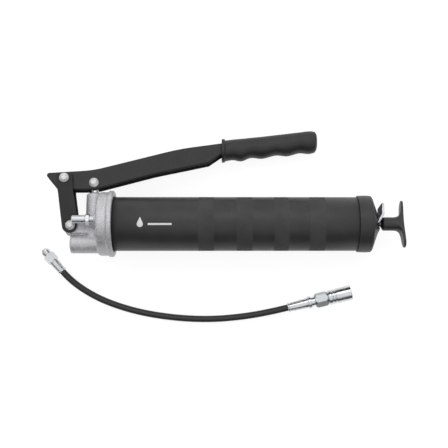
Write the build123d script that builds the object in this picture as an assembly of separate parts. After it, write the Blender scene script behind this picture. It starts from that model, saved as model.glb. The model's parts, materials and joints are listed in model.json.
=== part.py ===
from build123d import *
import math
import os

# Lever grease gun with its detached flexible hose.  Millimetres.
#
# The gun is drawn in its own frame: the origin is where the pump plunger's axis meets the
# barrel's axis, X runs back along the barrel, Y runs from the barrel to the lever, and Z
# is to the side that carries the filler nipple.  LAID turns that frame on to its side, as
# the gun lies on a table, with the row's +Z up and its origin under the middle of its box.

# How the gun lies: it rests on the head's rim, the rear cap and the lever's grip.
GUN_AT = (-136.28, -31.98, 34.78)
ROLL = 12.3
PITCH = 1.045

RUNNING = 0.05            # radial clearance of a shaft that turns or slides in a hole

# Barrel, for a 400 g cartridge
BARREL_R = 28.0
BARREL_WALL = 1.2
BARREL_START = 11.5
BARREL_END = 284.0

# Head casting
HEAD_FRONT = 5.0
HEAD_FLOOR = 10.0
HEAD_STEP = 15.4
HEAD_END = 21.3
HEAD_RECESS = (2.6, 1.1)  # depth and width of the flare at the mouth of the socket
HEAD_R = 33.0
RIM_R = 34.4
COLUMN_R = 8.75
COLUMN_TOP = 32.8
OUTLET_R = 10.1
OUTLET_Y = -20.8
OUTLET_FACE = -23.5
LUG_HALF = 8.4
LUG_R = 6.8
LUG_LOW = -11.4            # below here a thinner web joins the lug to the outlet boss
LUG_WEB_HALF = 4.4
PORT_R = 4.5              # tapping size of M10 x 1
PORT_DEPTH = 8.0
PORT_RELIEF = (0.9, 5.0)  # length and radius of the relief behind the thread
SPOT_FACE_R = 7.0
CHAMBER_R = 3.6           # outlet valve's chamber, inboard of the port
RETAINER_THICK = 1.4
RETAINER_START = -OUTLET_FACE - PORT_DEPTH - PORT_RELIEF[0] - RETAINER_THICK
VALVE_SEAT = 4.5          # the outlet valve's seat, ahead of the plunger's axis
CHECK_BALL_AT = 6.35
CHECK_BALL_R = 3.0
CHECK_SPRING_R = (2.6, 2.2)
CHECK_SPRING_IN = 2.1     # the spring starts this far past the ball's middle
RETAINER_HOLE_R = 1.9
GASKET_BORE_R = 24.0
FEED_R, FEED_Y = 5.0, 3.0 # radius and height of the way from the barrel into the pump

# Pump
PLUNGER_R = 4.0
PLUNGER_FOOT = -10.0
PUMP_FLOOR = -14.0
PASSAGE_R = 2.5
SEAL_LOW, SEAL_HIGH, SEAL_R = 28.0, 31.0, 6.2
EYE_LOW, EYE_HIGH = 37.8, 48.8
EYE_HALF_WIDTH, EYE_HALF_DEPTH = 6.2, 4.9
EYE_SLOT = (4.25, 3.5)    # half width and half height of the slot round the plunger pin
EYE_SLOT_MIDDLE = (0.32, 42.72)

# Pivots of the lever linkage, and their rivets
PIN_LEVER = (-31.3, 47.2)
PIN_PLUNGER = (-0.6, 42.5)
PIN_LUG = (-22.9, -3.5)
RIVET_R = 3.0
RIVET_HEAD_R = 5.0
RIVET_HEAD_HIGH = 2.5

# Lever channel and link, pressed from sheet: (x, y, corner radius) along the roof
ROOF_LINE = (
    (-52.6, 53.1, 2.6), (-2.0, 56.2, 120.0), (88.0, 79.6, 250.0), (131.0, 85.6, 60.0),
    (222.0, 96.8),
)
LEVER_HALF = 7.5
LEVER_SHEET = 1.8
LEVER_BEND_R = 2.0        # outer radius of the bends between the roof and the flanges
LINK_SHEET = 2.2
LINK_TOP_INNER = 7.7
LINK_LOW_INNER = 8.6
JOGGLE_LOW, JOGGLE_HIGH = 37.0, 39.5
LINK_WEB_LOW, LINK_WEB_HIGH = 9.0, 32.5

# Grip: (x, top, bottom, half width) of each section along the lever
GRIP_SECTIONS = (
    (135.0, 89.9, 68.2, 10.7),
    (144.0, 91.1, 69.6, 11.0),
    (153.0, 92.0, 68.3, 11.3),
    (163.0, 93.0, 72.0, 11.3),
    (175.0, 94.3, 71.2, 11.5),
    (190.0, 96.1, 74.8, 11.5),
    (202.0, 97.6, 74.0, 11.7),
    (214.5, 99.1, 77.3, 11.7),
    (224.8, 100.4, 76.6, 11.6),
    (230.2, 99.8, 78.2, 10.2),
    (233.1, 96.3, 83.0, 6.2),
)
COLLAR = (132.2, 3.6, 91.6, 66.9, 12.6)   # start, thickness, top, bottom, half width

# Rear cap
CAP_START = 273.0
CAP_R = 29.7
CAP_SHOULDER = 287.4
CAP_NECK = (294.6, 10.4)     # where the cone steepens to its tip
CAP_TIP_R = 7.0
CAP_THREAD_R = 26.6
CAP_FLOOR_R = 20.0
CAP_BORE_R = 4.6
CAP_END = 296.6
SPRING_SEAT = 286.2
BUSH = (282.9, 285.9, 7.6)   # start, end and outer radius of the rod's bush
BUSH_BOSS = (288.0, 10.6)    # where the boss round the bush meets the cap's wall

# Follower, rod and T-handle
ROD_R = 3.0
ROD_START = 11.0
ROD_HEAD = (11.0, 13.4, 5.0)
ROD_NOTCH = (96.0, 99.0, 2.4)
ROD_END = 316.0
CUP_R = BARREL_R - BARREL_WALL - 0.06
CUP_FACE, CUP_BACK = 15.0, 19.0
FRONT_WASHER = (1.4, 22.0)   # thickness and radius
REAR_WASHER_R = 24.6
GUIDE_R = 6.5                # outside of the hub that slides on the rod
HUB_END = 30.0
CLIP_R = 5.4
CLIP_THICK = 1.0
HUB_START = 298.0
HUB_R = 7.1
HANDLE_FACE = 322.6
HANDLE_HALF = 26.5
HANDLE_HALF_WIDTH = 7.0
HANDLE_TURN = -13.0

# Latch plate: line of its sheet, its width and the sheet's thickness
LATCH_SHEET = 2.2
LATCH_HALF = 15.0
LATCH_FOOT = (289.9, -8.3)
LATCH_BEND = (298.6, 7.5)
LATCH_TOP = (298.9, 19.6)
LATCH_SWING = 4.0
LATCH_NARROWS = -0.5

# Filler nipple, on the head's front wall
FILLER_AT = (0.6, 20.0)
FILLER_TIP, FILLER_HEX, FILLER_COLLAR, FILLER_SEAT = -19.9, -5.8, -1.5, 2.4
FILLER_R = 4.3
FILLER_BOSS_R, FILLER_STUD_R, FILLER_SHOULDER_R = 6.2, 3.0, 3.7
FILLER_WAY_R, FILLER_CHAMBER_R, FILLER_OUT_R = 1.4, 2.5, 1.6
FILLER_BALL_R = 2.0
FILLER_SPRING = (1.2, -1.2, 2.0, 1.7)  # start past the ball's middle, end, radii
FILLER_FLATS = 10.5
FILLER_NECK = (0.6, 3.8)  # length and radius of the relief ahead of the hexagon
FILLER_BALL_IN = 3.5      # the nipple's ball on its seat, in from its tip

# Follower spring and small springs, as sleeves of their outer shape
LATCH_SPRING = (BUSH[1] + 0.1, 290.3, 4.4, 3.9)
FOLLOWER_SPRING = (20.6, SPRING_SEAT - 0.1, 25.4, 25.05)

# Fittings at the hose's ends: distances run from the mouth of each ferrule
HOSE_BORE_R = 1.8
END_FERRULE = 13.9
END_NUT = (11.0, 23.3)    # across flats, and its end
END_SEAL = (28.2, 30.6)   # start and end of the sealing cone
STEM_START, STEM_NECK, STEM_END = 22.0, 25.2, 35.0
STEM_R, STEM_NECK_R, STEM_SPIGOT_R = 6.6, 5.2, 4.4
BODY = (13.6, 29.3, 43.4)  # across flats, start and end of the coupler's hexagon
BODY_TURN = -18           # degrees that the hexagon lies turned about the axis
BODY_BARREL = (57.0, 5.5) # end and radius of the part inside the sleeve
BODY_CHAMBER_R = 3.2
SLEEVE_START, SLEEVE_END, SLEEVE_R, SLEEVE_BORE_R = 44.0, 69.0, 8.0, 5.56
SLEEVE_GROOVES = (47.4, 50.8)
SLEEVE_GROOVE = (1.8, 7.1)   # width and radius of each groove
JAWS_START, JAWS_END = 58.2, 68.4
COUPLER_SEAL = (55.4, 57.9, 3.1, 1.2)
COUPLER_SPRING = (41.4, 55.3, 2.0, 1.6)
COUPLER_BALL_AT = 39.7
JAW_R = 3.35              # the jaws close round a 6.5 mm grease nipple
JAW_SLIT = 0.8

# Flexible hose: diameter, and the points of its route on the table
HOSE_R = 3.5
HOSE_ROUTE = (
    (-175.1, -82.4, 5.5),
    (-168.0, -90.5, 5.5),
    (-152.7, -102.4, 4.6),
    (-133.5, -113.1, 3.7),
    (-111.5, -121.3, 3.55),
    (-87.9, -127.5, 3.5),
    (-62.2, -131.6, 3.55),
    (-36.4, -133.8, 3.5),
    (-10.7, -133.9, 3.55),
    (12.9, -131.8, 3.6),
    (31.2, -129.1, 4.6),
    (48.3, -125.5, 6.8),
    (58.3, -123.1, 8.0),
    (66.6, -121.1, 8.0),
)


def outline(points):
    """Face from (x, y) points; a third value rounds that corner."""
    corners = [point[:2] for point in points]
    radii = [point[2] if len(point) > 2 else 0 for point in points]
    return make_face(FilletPolyline(*corners, radius=radii, close=True))


def facing(origin, along):
    """Location with its X axis along a direction, and its Z axis as upright as it can be."""
    along = Vector(*along).normalized()
    upright = Vector(0, 1, 0) if abs(along.Z) > 0.9 else Vector(0, 0, 1)
    side = upright.cross(along)
    return Plane(origin=origin, x_dir=along, z_dir=along.cross(side)).location


def turned(points, origin=(0, 0, 0), along=(1, 0, 0)):
    """Solid of revolution from (distance along the axis, radius) points."""
    return facing(origin, along) * revolve(outline(points), Axis.X)


def sleeve(start, end, outer, inner, origin=(0, 0, 0), along=(1, 0, 0)):
    """Plain ring or tube along an axis; an inner radius of 0 makes it solid."""
    points = ((start, inner), (start, outer), (end, outer), (end, inner))
    return turned(points, origin, along)


def slab(points, low, high):
    """Flat outline in the gun's XY plane, thickened from z = low to z = high."""
    return Pos(0, 0, low) * extrude(outline(points), amount=high - low, dir=(0, 0, 1))


def hexagon(across_flats, start, end, origin=(0, 0, 0), along=(1, 0, 0), corner=1.5, turn=0):
    """Hexagon bar along an axis, a flat down or turned from it, with its corners turned off."""
    flat = Plane.YZ * RegularPolygon(across_flats / 2, 6, major_radius=False, rotation=turn)
    bar = Pos(start, 0, 0) * extrude(flat, amount=end - start, dir=(1, 0, 0))
    tip = across_flats / math.sqrt(3)
    edge = across_flats / 2 - 0.1
    limit = (
        (start, 0), (start, edge), (start + corner, tip),
        (end - corner, tip), (end, edge), (end, 0),
    )
    return facing(origin, along) * (bar & revolve(outline(limit), Axis.X))


def ball(radius, centre):
    return Pos(*centre) * Sphere(radius)


def rivet(place, half_length):
    """Rivet across the lever's plane, with a domed head past each end of its grip."""
    edge = half_length + 0.7
    crown = half_length + RIVET_HEAD_HIGH
    points = (
        (-crown, 0), (-crown, 2.6, 1.8), (-edge, RIVET_HEAD_R, 0.5),
        (-half_length, RIVET_HEAD_R), (-half_length, RIVET_R),
        (half_length, RIVET_R), (half_length, RIVET_HEAD_R),
        (edge, RIVET_HEAD_R, 0.5), (crown, 2.6, 1.8), (crown, 0),
    )
    return turned(points, (place[0], place[1], 0), (0, 0, 1))


def across(place, radius, half_length=20):
    """Round bar through a pivot, for cutting its hole."""
    return Pos(place[0], place[1], 0) * Cylinder(radius, 2 * half_length)


# ---------------------------------------------------------------- head and pump

def head_casting():
    """Cast head: barrel socket, pump column, outlet boss and the lug that carries the link."""
    flare_deep, flare_wide = HEAD_RECESS
    cup = turned((
        (HEAD_FRONT, 0), (HEAD_FRONT, HEAD_R, 3.0), (HEAD_STEP, HEAD_R, 0.8),
        (HEAD_STEP + 1.2, RIM_R, 0.8), (HEAD_END, RIM_R, 1.2), (HEAD_END, BARREL_R + flare_wide),
        (HEAD_END - flare_deep, BARREL_R), (HEAD_FLOOR, BARREL_R), (HEAD_FLOOR, 0),
    ))
    column = turned((
        (OUTLET_Y - 4, 0), (OUTLET_Y - 4, COLUMN_R), (COLUMN_TOP - 2.1, COLUMN_R),
        (COLUMN_TOP, 5.2), (COLUMN_TOP, 0),
    ), along=(0, 1, 0))
    outlet = turned((
        (OUTLET_FACE, 0), (OUTLET_FACE, OUTLET_R, 2.2), (HEAD_FRONT + 1, OUTLET_R),
        (HEAD_FRONT + 1, 0),
    ), (0, OUTLET_Y, 0))
    lug_top, lug_front = PIN_LUG[1] + LUG_R, PIN_LUG[0] - LUG_R
    lug = slab((
        (0, lug_top), (lug_front, lug_top, LUG_R - 0.3), (lug_front, -8.0, 3.0),
        (lug_front + 3.4, LUG_LOW, 1.0), (HEAD_FRONT + 1, LUG_LOW), (HEAD_FRONT + 1, lug_top),
    ), -LUG_HALF, LUG_HALF)
    lug_web = slab((
        (lug_front + 3.4, LUG_LOW + 1), (OUTLET_FACE - 0.1, -14.4, 1.5), (-20.0, -16.0),
        (HEAD_FRONT + 1, -16.0), (HEAD_FRONT + 1, LUG_LOW + 1),
    ), -LUG_WEB_HALF, LUG_WEB_HALF)
    filler_boss = sleeve(FILLER_SEAT, HEAD_FRONT + 1, FILLER_BOSS_R, 0, (0, *FILLER_AT))
    casting = cup + column + outlet + lug + lug_web + filler_boss

    pump_bore = turned((
        (PUMP_FLOOR, 0), (PUMP_FLOOR, PLUNGER_R + RUNNING), (SEAL_LOW, PLUNGER_R + RUNNING),
        (SEAL_LOW, SEAL_R), (SEAL_HIGH, SEAL_R), (SEAL_HIGH, PLUNGER_R + RUNNING),
        (COLUMN_TOP + 1, PLUNGER_R + RUNNING), (COLUMN_TOP + 1, 0),
    ), along=(0, 1, 0))
    down_passage = sleeve(OUTLET_Y, PUMP_FLOOR + 1, PASSAGE_R, 0, along=(0, 1, 0))
    face = -OUTLET_FACE
    relief_long, relief_r = PORT_RELIEF
    thread_end = face - PORT_DEPTH
    chamber_end = thread_end - relief_long
    outlet_bore = turned((
        (-PASSAGE_R, 0), (-PASSAGE_R, PASSAGE_R), (VALVE_SEAT, PASSAGE_R),
        (VALVE_SEAT + 1, CHAMBER_R), (chamber_end, CHAMBER_R), (chamber_end, relief_r),
        (thread_end, relief_r), (thread_end, PORT_R), (face - 0.8, PORT_R),
        (face, PORT_R + 0.8), (face, SPOT_FACE_R), (face + 8, SPOT_FACE_R), (face + 8, 0),
    ), (0, OUTLET_Y, 0), (-1, 0, 0))
    feed = sleeve(0, HEAD_FLOOR + 1, FEED_R, 0, (0, FEED_Y, 0))
    filler_hole = sleeve(FILLER_SEAT - 1, HEAD_FLOOR + 1, FILLER_STUD_R, 0, (0, *FILLER_AT))
    lug_hole = across(PIN_LUG, RIVET_R + RUNNING)
    return casting - pump_bore - down_passage - outlet_bore - feed - filler_hole - lug_hole


def pump_pieces():
    """What sits in the head: gasket, seal, plunger and the outlet's check valve."""
    shank = sleeve(PLUNGER_FOOT, EYE_LOW + 1, PLUNGER_R, 0, along=(0, 1, 0))
    eye = slab((
        (-EYE_HALF_WIDTH, EYE_LOW, 4.0), (EYE_HALF_WIDTH, EYE_LOW, 4.0),
        (EYE_HALF_WIDTH, EYE_HIGH, 5.0), (-EYE_HALF_WIDTH, EYE_HIGH, 5.0),
    ), -EYE_HALF_DEPTH, EYE_HALF_DEPTH)
    middle_x, middle_y = EYE_SLOT_MIDDLE
    wide, high = EYE_SLOT
    slot = slab([
        (middle_x + sx * wide, middle_y + sy * high, high - 0.1)
        for sx, sy in ((-1, -1), (1, -1), (1, 1), (-1, 1))
    ], -20, 20)
    valve, outward = (0, OUTLET_Y, 0), (-1, 0, 0)
    return {
        "head_gasket": sleeve(HEAD_FLOOR, BARREL_START, BARREL_R, GASKET_BORE_R),
        "plunger_seal": sleeve(
            SEAL_LOW, SEAL_HIGH, SEAL_R, PLUNGER_R + RUNNING, along=(0, 1, 0)),
        "plunger": shank + eye - slot,
        "check_ball": ball(CHECK_BALL_R, (-CHECK_BALL_AT, OUTLET_Y, 0)),
        "check_spring": sleeve(
            CHECK_BALL_AT + CHECK_SPRING_IN, RETAINER_START, *CHECK_SPRING_R, valve, outward),
        "check_retainer": sleeve(
            RETAINER_START, RETAINER_START + RETAINER_THICK, CHAMBER_R, RETAINER_HOLE_R,
            valve, outward),
    }


def filler_pieces():
    """Filler nipple: body with a hexagon, and the ball and spring that close it."""
    at = (0, *FILLER_AT)
    neck_length, neck_r = FILLER_NECK
    tip = turned((
        (FILLER_TIP, 0), (FILLER_TIP, FILLER_R - 0.8), (FILLER_TIP + 0.8, FILLER_R),
        (FILLER_HEX - neck_length, FILLER_R), (FILLER_HEX - neck_length, neck_r),
        (FILLER_HEX, neck_r), (FILLER_HEX, 0),
    ), at)
    nut = hexagon(FILLER_FLATS, FILLER_HEX, FILLER_COLLAR, at, corner=0.8)
    stud = turned((
        (FILLER_COLLAR, 0), (FILLER_COLLAR, FILLER_SHOULDER_R), (FILLER_SEAT, FILLER_SHOULDER_R),
        (FILLER_SEAT, FILLER_STUD_R), (HEAD_FLOOR - 0.5, FILLER_STUD_R), (HEAD_FLOOR - 0.5, 0),
    ), at)
    bore = turned((
        (FILLER_TIP - 1, 0), (FILLER_TIP - 1, FILLER_WAY_R), (FILLER_TIP + 2, FILLER_WAY_R),
        (FILLER_TIP + 3, FILLER_CHAMBER_R), (-1, FILLER_CHAMBER_R), (0, FILLER_OUT_R),
        (HEAD_FLOOR, FILLER_OUT_R), (HEAD_FLOOR, 0),
    ), at)
    ball_x = FILLER_TIP + FILLER_BALL_IN
    spring_in, *spring = FILLER_SPRING
    return {
        "filler_nipple_body": tip + nut + stud - bore,
        "filler_nipple_ball": ball(FILLER_BALL_R, (ball_x, *FILLER_AT)),
        "filler_nipple_spring": sleeve(ball_x + spring_in, *spring, at),
    }


# ---------------------------------------------------------------- lever linkage

def link_arm():
    """Pressed link: two plates, set wider at the lug, joined by a web on the front edge."""
    low_outer = LINK_LOW_INNER + LINK_SHEET
    top_outer = LINK_TOP_INNER + LINK_SHEET
    section = (
        (-20, LINK_LOW_INNER), (-20, low_outer), (JOGGLE_LOW, low_outer),
        (JOGGLE_HIGH, top_outer), (60, top_outer), (60, LINK_TOP_INNER),
        (JOGGLE_HIGH, LINK_TOP_INNER), (JOGGLE_LOW, LINK_LOW_INNER),
    )
    sheet = Pos(-50, 0, 0) * extrude(Plane.YZ * outline(section), amount=45, dir=(1, 0, 0))
    side = slab((
        (-38.6, 52.2, 1.5), (-38.1, 38.0, 8.0), (-36.7, 30.0, 30.0), (-33.4, 8.0, 20.0),
        (-30.4, -11.3, 7.4), (-15.4, -11.3, 7.4), (-17.4, 8.6, 30.0), (-21.3, 33.0, 30.0),
        (-22.6, 52.2, 3.2),
    ), -20, 20)
    plates = (sheet + mirror(sheet, Plane.XY)) & side
    web = slab((
        (-33.6, LINK_WEB_LOW), (-37.1, LINK_WEB_HIGH), (-37.1 + LINK_SHEET, LINK_WEB_HIGH),
        (-33.6 + LINK_SHEET, LINK_WEB_LOW),
    ), -low_outer + 0.4, low_outer - 0.4) & side
    return plates + web - across(PIN_LUG, RIVET_R) - across(PIN_LEVER, RIVET_R)


def lever_sides():
    """Outline of the lever's flanges, from its cut nose to the end inside the grip."""
    return (
        *ROOF_LINE, (222.0, 84.6), (131.6, 72.8, 6.0), (118.6, 63.6, 6.0),
        (62.0, 51.4, 260.0), (1.0, 34.9, 50.0), (-37.3, 34.7, 1.0),
    )


def roof_edges(blank):
    """Long edges between the lever's roof and its two flanges."""
    corners = [corner[:2] for corner in ROOF_LINE]
    nose = corners[0][0] + 4.0
    edges = []
    for edge in blank.edges():
        middle = edge.center()
        flat = abs(abs(middle.Z) - LEVER_HALF) < 1e-6 and edge.bounding_box().size.Z < 1e-6
        for (x0, y0), (x1, y1) in zip(corners, corners[1:]):
            line_y = y0 + (y1 - y0) * (middle.X - x0) / (x1 - x0)
            near = abs(middle.Y - line_y) < 2.5 and middle.X > nose
            if flat and near and x0 <= middle.X < x1:
                edges.append(edge)
    return edges


def lever_channel():
    """Pressed channel, open towards the barrel."""
    drop = LEVER_SHEET * 1.03
    under = [(x, y - drop, 120.0) for x, y, radius in ROOF_LINE[1:4]]
    nose_y = ROOF_LINE[0][1] - drop - 0.5
    roof = [(-60, nose_y), *under, (230, 97.8 - drop), (230, 0), (-60, 0)]
    inner = LEVER_HALF - LEVER_SHEET
    blank = slab(lever_sides(), -LEVER_HALF, LEVER_HALF)
    channel = fillet(roof_edges(blank), LEVER_BEND_R) - slab(roof, -inner, inner)
    return channel - across(PIN_LEVER, RIVET_R + RUNNING) - across(PIN_PLUNGER, RIVET_R)


def lever_grip():
    """Moulded grip over the end of the lever, with finger grooves and a thin collar."""
    sections = [
        Plane(origin=(x, (top + bottom) / 2, 0), x_dir=(0, 0, 1), z_dir=(1, 0, 0))
        * Ellipse(half_width, (top - bottom) / 2)
        for x, top, bottom, half_width in GRIP_SECTIONS
    ]
    start, thick, top, bottom, half_width = COLLAR
    collar_face = Plane(
        origin=(start, (top + bottom) / 2, 0), x_dir=(0, 0, 1), z_dir=(1, 0, 0)
    ) * Ellipse(half_width, (top - bottom) / 2)
    collar = extrude(collar_face, amount=thick, dir=(1, 0, 0))
    return loft(sections) + collar - slab(lever_sides(), -LEVER_HALF, LEVER_HALF)


# ---------------------------------------------------------------- barrel, follower and rod

def rear_cap():
    """Screwed rear cap, with the slot that the latch plate tilts in."""
    bush_start, bush_end, bush_r = BUSH
    boss_root, boss_r = BUSH_BOSS
    body = turned((
        (CAP_START, BARREL_R), (CAP_START, CAP_R - 0.3, 0.4), (CAP_START + 8, CAP_R, 60.0),
        (CAP_SHOULDER, CAP_R - 0.3, 2.6), (*CAP_NECK, 2.0), (CAP_END, CAP_TIP_R, 0.5),
        (CAP_END, CAP_BORE_R), (bush_end, CAP_BORE_R), (bush_end, bush_r), (bush_start, bush_r),
        (bush_start, boss_r), (boss_root, boss_r), (SPRING_SEAT, CAP_FLOOR_R),
        (SPRING_SEAT, CAP_THREAD_R), (BARREL_END, CAP_THREAD_R), (BARREL_END, BARREL_R),
    ))
    foot_x, foot_y = LATCH_FOOT
    lean = (LATCH_BEND[0] - foot_x) / (LATCH_BEND[1] - foot_y)
    room = LATCH_SHEET / 2 * math.hypot(1, lean) + 0.45
    low_y, high_y = foot_y - 1.4, LATCH_TOP[1] + 1.0
    swing = math.tan(math.radians(LATCH_SWING + 1)) * (high_y - foot_y)
    low_x, high_x = foot_x + lean * (low_y - foot_y), foot_x + lean * (high_y - foot_y)
    slot = slab((
        (low_x - room, low_y), (low_x + room, low_y),
        (foot_x + lean * 3.3 + room, -5.0), (320, -5.0), (320, high_y),
        (high_x - room - swing, high_y),
    ), -LATCH_HALF - 0.6, LATCH_HALF + 0.6)
    return body - slot


def latch_line(offset):
    """The latch plate's sheet line, moved sideways to one of its faces."""
    points = (LATCH_FOOT, LATCH_BEND, LATCH_TOP)
    return [(x + offset, y) for x, y in points]


def latch_plate():
    """Bent plate with a hole round the rod and a thumb tab above it."""
    lean = (LATCH_BEND[0] - LATCH_FOOT[0]) / (LATCH_BEND[1] - LATCH_FOOT[1])
    half = LATCH_SHEET / 2 * math.hypot(1, lean)
    foot, bend, top = latch_line(-half)
    back_foot, back_bend, back_top = latch_line(half)
    band = slab((
        foot, (*bend, 3.0), (top[0] + 0.2, top[1]), (back_top[0] - 0.2, back_top[1]),
        (*back_bend, 1.2), back_foot,
    ), -LATCH_HALF, LATCH_HALF)
    front = (
        (top[1], LATCH_HALF, 3.0), (LATCH_NARROWS, LATCH_HALF, 5.0), (foot[1], 6.5, 4.0),
        (foot[1], -6.5, 4.0), (LATCH_NARROWS, -LATCH_HALF, 5.0), (top[1], -LATCH_HALF, 3.0),
    )
    shield = Pos(280, 0, 0) * extrude(Plane.YZ * outline(front), amount=40, dir=(1, 0, 0))
    return (band & shield) - sleeve(280, 320, ROD_R + 0.55, 0)


def follower_pieces():
    """Rubber cup between two washers on a hub that guides the rod."""
    lip = CUP_FACE - 2.4
    washer_thick, washer_r = FRONT_WASHER
    seat = FOLLOWER_SPRING[0] - 0.1
    return {
        "follower_cup": turned((
            (CUP_FACE, GUIDE_R), (CUP_FACE, washer_r + 1), (lip, CUP_R - 2.1),
            (lip, CUP_R - 0.4), (lip + 0.8, CUP_R), (CUP_BACK, CUP_R), (CUP_BACK, GUIDE_R),
        )),
        "follower_front_washer": sleeve(
            CUP_FACE - washer_thick, CUP_FACE, washer_r, ROD_R + RUNNING),
        "follower_rear_washer": sleeve(CUP_BACK, seat, REAR_WASHER_R, GUIDE_R),
        "follower_hub": sleeve(CUP_FACE, HUB_END, GUIDE_R, ROD_R + RUNNING),
        "follower_spring": sleeve(*FOLLOWER_SPRING),
    }


def rod_pieces():
    """Follower rod with its head and notch, its clip, and the T-handle on its end."""
    head_start, head_end, head_r = ROD_HEAD
    clip_start = HUB_END + 0.1
    clip_end = clip_start + CLIP_THICK
    groove = ROD_R - 0.6
    rod = turned((
        (head_start, 0), (head_start, head_r), (head_end, head_r), (head_end, ROD_R),
        (clip_start, ROD_R), (clip_start, groove), (clip_end, groove), (clip_end, ROD_R),
        (ROD_NOTCH[0], ROD_R), (ROD_NOTCH[0] + 0.6, ROD_NOTCH[2]),
        (ROD_NOTCH[1] - 0.6, ROD_NOTCH[2]), (ROD_NOTCH[1], ROD_R),
        (ROD_END, ROD_R), (ROD_END, 0),
    ))
    neck = turned((
        (HUB_START, 0), (HUB_START, 3.6), (HUB_START + 2.3, HUB_R, 0.4),
        (HANDLE_FACE - 4, HUB_R), (HANDLE_FACE - 4, 0),
    ))
    bar = slab((
        (HANDLE_FACE - 10.5, 6.6), (HANDLE_FACE - 4.2, 7.4, 6.5),
        (HANDLE_FACE - 2.4, HANDLE_HALF, 0.7), (HANDLE_FACE, HANDLE_HALF, 0.9),
        (HANDLE_FACE - 1.1, 0, 120.0), (HANDLE_FACE, -HANDLE_HALF, 0.9),
        (HANDLE_FACE - 2.4, -HANDLE_HALF, 0.7), (HANDLE_FACE - 4.2, -7.4, 6.5),
        (HANDLE_FACE - 10.5, -6.6),
    ), -HANDLE_HALF_WIDTH, HANDLE_HALF_WIDTH)
    ends = Plane.YZ * SlotOverall(2 * HANDLE_HALF, 2 * HANDLE_HALF_WIDTH)
    rounded = Pos(HANDLE_FACE - 20, 0, 0) * extrude(ends, amount=30, dir=(1, 0, 0))
    flare = turned((
        (HANDLE_FACE - 10.5, 0), (HANDLE_FACE - 10.5, HUB_R), (HANDLE_FACE - 4.6, 8.5, 5.0),
        (HANDLE_FACE - 2.8, HANDLE_HALF + 2), (HANDLE_FACE + 1, HANDLE_HALF + 2),
        (HANDLE_FACE + 1, 0),
    ))
    handle = neck + (bar & rounded & flare) - sleeve(290, ROD_END, ROD_R, 0)
    return {
        "follower_rod": rod,
        "rod_clip": sleeve(clip_start, clip_end, CLIP_R, groove),
        "t_handle": Rot(HANDLE_TURN, 0, 0) * handle,
    }


# ---------------------------------------------------------------- hose and its fittings

def hose_path():
    """Straight runs joined by arcs as large as the shorter run at each point allows."""
    points = [Vector(*point) for point in HOSE_ROUTE]
    radii = []
    for before, here, after in zip(points, points[1:], points[2:]):
        first, second = here - before, after - here
        turn = math.radians(first.get_angle(second))
        radii.append(0.45 * min(first.length, second.length) / math.tan(turn / 2))
    print("hose arc radii, mm:", [round(radius) for radius in radii])
    return FilletPolyline(*points, radius=radii)


def hose_tube():
    path = hose_path()
    start = Plane(origin=path @ 0, z_dir=path % 0)
    tube = sweep(start * Circle(HOSE_R), path=path)
    section = math.pi * HOSE_R ** 2
    print("hose length, mm:", round(path.length, 1))
    print("hose volume against section times length:", tube.volume / (section * path.length))
    return tube


def hose_end_pieces():
    """Swaged ferrule and the male fitting that screws into the gun's outlet."""
    at = HOSE_ROUTE[0]
    out = Vector(*HOSE_ROUTE[0]) - Vector(*HOSE_ROUTE[1])
    along = (out.X, out.Y, 0)
    ferrule = turned((
        (0, HOSE_BORE_R), (0, 4.1, 0.3), (1.2, 4.35, 0.5), (END_FERRULE, 4.95, 0.4),
        (END_FERRULE, HOSE_BORE_R),
    ), at, along)
    flats, nut_end = END_NUT
    cone_start, cone_end = END_SEAL
    nut = hexagon(flats, END_FERRULE, nut_end, at, along, corner=1.2)
    stub = turned((
        (nut_end - 0.3, 0), (nut_end - 0.3, 4.2), (nut_end + 1.1, 4.2), (nut_end + 1.5, 4.75),
        (cone_start, 4.55), (cone_end, 2.9), (cone_end, 0),
    ), at, along)
    bore = sleeve(END_FERRULE - 1, cone_end + 1, HOSE_BORE_R, 0, at, along)
    return {"hose_end_ferrule": ferrule, "hose_end_fitting": nut + stub - bore}


def coupler_frame():
    """Start and level direction of the coupler at the hose's far end."""
    tail = Vector(*HOSE_ROUTE[-1]) - Vector(*HOSE_ROUTE[-2])
    return HOSE_ROUTE[-1], (tail.X, tail.Y, 0)


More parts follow.
